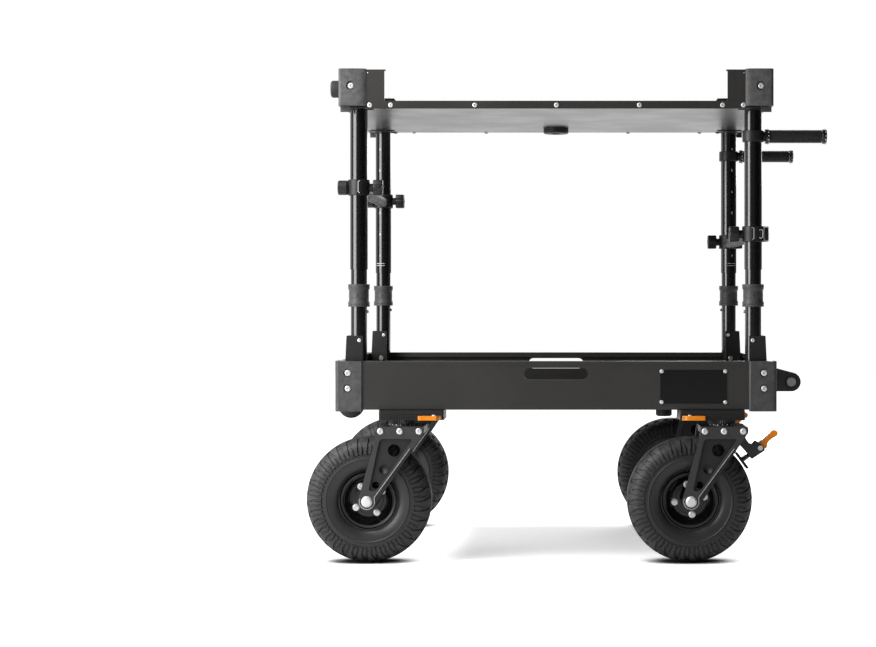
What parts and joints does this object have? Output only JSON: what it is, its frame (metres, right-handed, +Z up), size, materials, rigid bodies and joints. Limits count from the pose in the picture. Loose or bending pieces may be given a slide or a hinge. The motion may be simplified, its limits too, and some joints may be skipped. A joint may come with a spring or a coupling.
{
  "type": "workstation cart",
  "caption": "Folding workstation cart: sheet-metal tray on swivel casters, lift-off shelf on folding telescopic legs, crossbars with clamp knobs, push handles, carry handle.",
  "frame": {"origin": "on the floor, under the middle of the overall bounding box", "axes": "+X towards the push-handle end, +Y towards the back, +Z up; the front faces -Y"},
  "size_m": [1.126, 0.7, 1.0635],
  "materials": {
    "anodised_black": "gloss black anodised",
    "black_plastic": "matt",
    "black_rubber": "matt",
    "bracket_black": "satin black",
    "collar_grey": "satin",
    "fork_black": "satin black",
    "moulded_grey": "fine grained",
    "orange_anodised": "orange anodised",
    "rail_black": "satin black anodised",
    "rim_gloss_black": "gloss black",
    "tray_powder_coat": "satin powder coat",
    "tyre_rubber": "matt"
  },
  "bodies": {
    "tray": {"tray": "tray_powder_coat", "carry_handle": "anodised_black", "tray_corner_left_front": "moulded_grey", "tray_corner_left_back": "moulded_grey", "tray_corner_right_front": "moulded_grey", "tray_corner_right_back": "moulded_grey", "caster_rail_left": "rail_black", "caster_rail_right": "rail_black", "rubber_foot_front": "black_rubber", "rubber_foot_back": "black_rubber", "leg_bracket_left_front": "bracket_black", "leg_bracket_left_back": "bracket_black", "leg_bracket_right_front": "bracket_black", "leg_bracket_right_back": "bracket_black"},
    "shelf": {"shelf_deck": "tray_powder_coat", "shelf_puck": "black_rubber", "shelf_corner_left_front": "moulded_grey", "shelf_corner_left_back": "moulded_grey", "shelf_corner_right_front": "moulded_grey", "shelf_corner_right_back": "moulded_grey", "shelf_bumper_front": "black_rubber", "shelf_bumper_back": "black_rubber"},
    "left_legs": {"leg_tube_left_front": "anodised_black", "leg_tube_left_back": "anodised_black"},
    "left_crossbar": {"crossbar_left": "anodised_black"},
    "left_front_collar": {"leg_collar_left_front": "collar_grey"},
    "left_front_knob": {"crossbar_knob_left_front": "black_plastic"},
    "left_front_release": {"release_lever_left_front": "orange_anodised"},
    "left_back_collar": {"leg_collar_left_back": "collar_grey"},
    "left_back_knob": {"crossbar_knob_left_back": "black_plastic"},
    "left_back_release": {"release_lever_left_back": "orange_anodised"},
    "right_legs": {"leg_tube_right_front": "anodised_black", "leg_tube_right_back": "anodised_black"},
    "right_crossbar": {"crossbar_right": "anodised_black"},
    "right_front_collar": {"leg_collar_right_front": "collar_grey"},
    "right_front_knob": {"crossbar_knob_right_front": "black_plastic"},
    "right_front_release": {"release_lever_right_front": "orange_anodised"},
    "right_back_collar": {"leg_collar_right_back": "collar_grey"},
    "right_back_knob": {"crossbar_knob_right_back": "black_plastic"},
    "right_back_release": {"release_lever_right_back": "orange_anodised"},
    "front_push_handle": {"push_handle_front": "black_rubber"},
    "front_transport_wheel": {"transport_wheel_front": "black_rubber"},
    "back_push_handle": {"push_handle_back": "black_rubber"},
    "back_transport_wheel": {"transport_wheel_back": "black_rubber"},
    "left_front_swivel": {"caster_fork_left_front": "fork_black"},
    "left_front_wheel": {"wheel_rim_left_front": "rim_gloss_black", "tyre_left_front": "tyre_rubber"},
    "left_back_swivel": {"caster_fork_left_back": "fork_black"},
    "left_back_wheel": {"wheel_rim_left_back": "rim_gloss_black", "tyre_left_back": "tyre_rubber"},
    "right_front_swivel": {"caster_fork_right_front": "fork_black"},
    "right_front_wheel": {"wheel_rim_right_front": "rim_gloss_black", "tyre_right_front": "tyre_rubber"},
    "front_brake_lever": {"brake_lever_front": "orange_anodised"},
    "front_brake_shoe": {"brake_shoe_front": "fork_black"},
    "right_back_swivel": {"caster_fork_right_back": "fork_black"},
    "right_back_wheel": {"wheel_rim_right_back": "rim_gloss_black", "tyre_right_back": "tyre_rubber"},
    "back_brake_lever": {"brake_lever_back": "orange_anodised"},
    "back_brake_shoe": {"brake_shoe_back": "fork_black"}
  },
  "joints": [
    {"name": "shelf_lift", "type": "slide", "parent": "tray", "child": "shelf", "axis": [0, 0, 1], "range_m": [0, 0.12]},
    {"name": "left_legs_fold", "type": "hinge", "parent": "tray", "child": "left_legs", "pos_m": [-0.457, 0, 0.42], "axis": [0, 1, 0], "range_deg": [0, 90]},
    {"name": "left_crossbar_slide", "type": "slide", "parent": "left_legs", "child": "left_crossbar", "axis": [0, 0, 1], "range_m": [-0.15, 0.12]},
    {"name": "left_front_collar_slide", "type": "slide", "parent": "left_legs", "child": "left_front_collar", "axis": [0, 0, 1], "range_m": [0, 0.025], "stiffness_N_per_m": 300, "springref_m": -0.005},
    {"name": "left_front_knob_turn", "type": "hinge", "parent": "left_crossbar", "child": "left_front_knob", "pos_m": [-0.4232, -0.263, 0.809], "axis": [1, 0, 0], "continuous": true},
    {"name": "left_front_release_swing", "type": "hinge", "parent": "tray", "child": "left_front_release", "pos_m": [-0.2752, -0.3108, 0.3112], "axis": [0, 0, 1], "range_deg": [0, 60]},
    {"name": "left_back_collar_slide", "type": "slide", "parent": "left_legs", "child": "left_back_collar", "axis": [0, 0, 1], "range_m": [0, 0.025], "stiffness_N_per_m": 300, "springref_m": -0.005},
    {"name": "left_back_knob_turn", "type": "hinge", "parent": "left_crossbar", "child": "left_back_knob", "pos_m": [-0.4232, 0.263, 0.809], "axis": [1, 0, 0], "continuous": true},
    {"name": "left_back_release_swing", "type": "hinge", "parent": "tray", "child": "left_back_release", "pos_m": [-0.2752, 0.3108, 0.3112], "axis": [0, 0, -1], "range_deg": [0, 60]},
    {"name": "right_legs_fold", "type": "hinge", "parent": "tray", "child": "right_legs", "pos_m": [0.407, 0, 0.42], "axis": [0, -1, 0], "range_deg": [0, 75]},
    {"name": "right_crossbar_slide", "type": "slide", "parent": "right_legs", "child": "right_crossbar", "axis": [0, 0, 1], "range_m": [-0.05, 0.12]},
    {"name": "right_front_collar_slide", "type": "slide", "parent": "right_legs", "child": "right_front_collar", "axis": [0, 0, 1], "range_m": [0, 0.025], "stiffness_N_per_m": 300, "springref_m": -0.005},
    {"name": "right_front_knob_turn", "type": "hinge", "parent": "right_crossbar", "child": "right_front_knob", "pos_m": [0.3732, -0.263, 0.708], "axis": [1, 0, 0], "continuous": true},
    {"name": "right_front_release_swing", "type": "hinge", "parent": "tray", "child": "right_front_release", "pos_m": [0.2502, -0.3108, 0.3112], "axis": [0, 0, -1], "range_deg": [0, 60]},
    {"name": "right_back_collar_slide", "type": "slide", "parent": "right_legs", "child": "right_back_collar", "axis": [0, 0, 1], "range_m": [0, 0.025], "stiffness_N_per_m": 300, "springref_m": -0.005},
    {"name": "right_back_knob_turn", "type": "hinge", "parent": "right_crossbar", "child": "right_back_knob", "pos_m": [0.3732, 0.263, 0.708], "axis": [1, 0, 0], "continuous": true},
    {"name": "right_back_release_swing", "type": "hinge", "parent": "tray", "child": "right_back_release", "pos_m": [0.2502, 0.3108, 0.3112], "axis": [0, 0, 1], "range_deg": [0, 60]},
    {"name": "front_push_handle_swing", "type": "hinge", "parent": "right_legs", "child": "front_push_handle", "pos_m": [0.404, -0.263, 0.9205], "axis": [0, 0, 1], "range_deg": [0, 90]},
    {"name": "front_transport_wheel_spin", "type": "hinge", "parent": "tray", "child": "front_transport_wheel", "pos_m": [-0.483, -0.158, 0.3295], "axis": [0, 1, 0], "continuous": true},
    {"name": "back_push_handle_swing", "type": "hinge", "parent": "right_legs", "child": "back_push_handle", "pos_m": [0.404, 0.263, 0.9205], "axis": [0, 0, -1], "range_deg": [0, 90]},
    {"name": "back_transport_wheel_spin", "type": "hinge", "parent": "tray", "child": "back_transport_wheel", "pos_m": [-0.483, 0.158, 0.3295], "axis": [0, 1, 0], "continuous": true},
    {"name": "left_front_swivel_turn", "type": "hinge", "parent": "tray", "child": "left_front_swivel", "pos_m": [-0.358, -0.287, 0.294], "axis": [0, 0, 1], "continuous": true},
    {"name": "left_front_wheel_spin", "type": "hinge", "parent": "left_front_swivel", "child": "left_front_wheel", "pos_m": [-0.428, -0.287, 0.135], "axis": [0, 1, 0], "continuous": true},
    {"name": "left_back_swivel_turn", "type": "hinge", "parent": "tray", "child": "left_back_swivel", "pos_m": [-0.358, 0.287, 0.294], "axis": [0, 0, 1], "continuous": true},
    {"name": "left_back_wheel_spin", "type": "hinge", "parent": "left_back_swivel", "child": "left_back_wheel", "pos_m": [-0.428, 0.287, 0.135], "axis": [0, 1, 0], "continuous": true},
    {"name": "right_front_swivel_turn", "type": "hinge", "parent": "tray", "child": "right_front_swivel", "pos_m": [0.333, -0.287, 0.294], "axis": [0, 0, 1], "continuous": true},
    {"name": "right_front_wheel_spin", "type": "hinge", "parent": "right_front_swivel", "child": "right_front_wheel", "pos_m": [0.263, -0.287, 0.135], "axis": [0, 1, 0], "continuous": true},
    {"name": "front_brake_press", "type": "hinge", "parent": "right_front_swivel", "child": "front_brake_lever", "pos_m": [0.415, -0.287, 0.246], "axis": [0, 1, 0], "range_deg": [0, 40]},
    {"name": "front_brake_shoe_slide", "type": "slide", "parent": "right_front_swivel", "child": "front_brake_shoe", "axis": [-0.8076, 0, -0.5897], "range_m": [0, 0.0025]},
    {"name": "right_back_swivel_turn", "type": "hinge", "parent": "tray", "child": "right_back_swivel", "pos_m": [0.333, 0.287, 0.294], "axis": [0, 0, 1], "continuous": true},
    {"name": "right_back_wheel_spin", "type": "hinge", "parent": "right_back_swivel", "child": "right_back_wheel", "pos_m": [0.263, 0.287, 0.135], "axis": [0, 1, 0], "continuous": true},
    {"name": "back_brake_press", "type": "hinge", "parent": "right_back_swivel", "child": "back_brake_lever", "pos_m": [0.415, 0.287, 0.246], "axis": [0, 1, 0], "range_deg": [0, 40]},
    {"name": "back_brake_shoe_slide", "type": "slide", "parent": "right_back_swivel", "child": "back_brake_shoe", "axis": [-0.8076, 0, -0.5897], "range_m": [0, 0.0025]}
  ],
  "couplings": [
    {"joint": "front_brake_shoe_slide", "follows": "front_brake_press", "m_per_rad": 0.0035},
    {"joint": "back_brake_shoe_slide", "follows": "back_brake_press", "m_per_rad": 0.0035}
  ]
}
